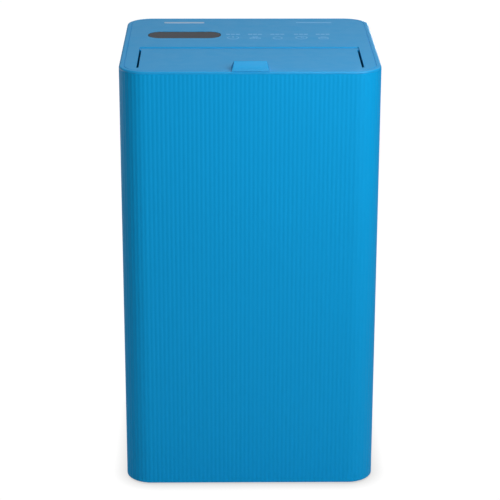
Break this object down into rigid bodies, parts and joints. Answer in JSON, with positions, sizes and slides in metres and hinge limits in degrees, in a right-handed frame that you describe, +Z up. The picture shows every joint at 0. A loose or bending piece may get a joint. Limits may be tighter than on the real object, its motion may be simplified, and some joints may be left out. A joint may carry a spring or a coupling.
{
  "type": "dehumidifier",
  "caption": "Upright portable compressor dehumidifier with an upright-ribbed shell, a hinged outlet flap and touch panel on top, and a pull-out water tank behind.",
  "frame": {"origin": "centre of the bounding box's footprint, on the floor that the feet stand on", "axes": "+Z up, +X to the right of somebody facing the front, -Y out of the front"},
  "size_m": [0.3, 0.272, 0.5259],
  "materials": {
    "ribbed_blue": "satin blue plastic, fine texture",
    "cover_blue": "satin blue plastic, fine texture",
    "display": "smoked, smooth",
    "badge": "pale inlay",
    "zinc": "zinc plated",
    "steel": "ground",
    "black_plastic": "fine texture",
    "grey_plastic": "moulded",
    "white_plastic": "moulded",
    "foam_white": "closed-cell foam",
    "foam_pad": "conductive foam",
    "tank_plastic": "translucent",
    "circuit_board": "solder mask",
    "rubber": "matte",
    "fins": "bare fins on tubes",
    "black_paint": "semi-gloss",
    "copper": "bare copper tube"
  },
  "bodies": {
    "casing": {"front_shell": "ribbed_blue", "rear_cover": "ribbed_blue", "top_cover": "cover_blue", "display_window": "display", "blank_badge": "badge", "cover_screw_1": "zinc", "cover_screw_2": "zinc", "flap_pin_left": "steel", "flap_pin_right": "steel", "outlet_grille": "black_plastic", "control_board": "circuit_board", "touch_pad_1": "foam_pad", "touch_pad_2": "foam_pad", "touch_pad_3": "foam_pad", "touch_pad_4": "foam_pad", "touch_pad_5": "foam_pad", "grip_cup_left": "black_plastic", "grip_cup_right": "black_plastic", "base_pan": "black_plastic", "foot_front_left": "rubber", "foot_front_right": "rubber", "foot_back_left": "rubber", "foot_back_right": "rubber", "tank_bay": "grey_plastic", "deck": "grey_plastic", "drip_tray": "white_plastic", "cord_gland": "black_plastic", "float_switch": "black_plastic", "evaporator": "fins", "condenser": "fins", "compressor": "black_paint", "accumulator": "black_paint", "compressor_grommet_1": "rubber", "compressor_grommet_2": "rubber", "compressor_grommet_3": "rubber", "discharge_pipe": "copper", "suction_pipe": "copper", "liquid_pipe": "copper", "filter_drier": "copper", "capillary_tube": "copper", "fan_motor": "zinc", "motor_bracket": "zinc", "scroll_housing": "grey_plastic", "scroll_cover": "grey_plastic", "outlet_duct": "grey_plastic", "electronics_box": "black_plastic", "power_board": "circuit_board", "run_capacitor": "white_plastic", "humidity_sensor": "white_plastic"},
    "flap": {"outlet_flap": "cover_blue"},
    "fan": {"fan_wheel": "black_plastic", "motor_shaft": "steel"},
    "tank": {"water_tank": "tank_plastic", "tank_lid": "white_plastic", "float_pin": "steel"},
    "float": {"tank_float": "foam_white", "float_magnet": "steel"},
    "filter": {"inlet_grille": "ribbed_blue", "filter_mesh": "black_plastic"},
    "cap": {"drain_cap": "rubber"}
  },
  "joints": [
    {"name": "flap_hinge", "type": "hinge", "parent": "casing", "child": "flap", "pos_m": [0, -0.0209, 0.512], "axis": [-1, 0, 0], "range_deg": [0, 75]},
    {"name": "fan_spin", "type": "hinge", "parent": "casing", "child": "fan", "pos_m": [0, -0.087, 0.33], "axis": [0, -1, 0], "continuous": true},
    {"name": "tank_slide", "type": "slide", "parent": "casing", "child": "tank", "axis": [0, 1, 0], "range_m": [0, 0.13]},
    {"name": "float_hinge", "type": "hinge", "parent": "tank", "child": "float", "pos_m": [-0.05, 0.042, 0.138], "axis": [1, 0, 0], "range_deg": [0, 14]},
    {"name": "grille_pull", "type": "slide", "parent": "casing", "child": "filter", "axis": [0, 1, 0], "range_m": [0, 0.06]},
    {"name": "drain_cap_pull", "type": "slide", "parent": "casing", "child": "cap", "axis": [0, 1, 0], "range_m": [0, 0.03]}
  ]
}
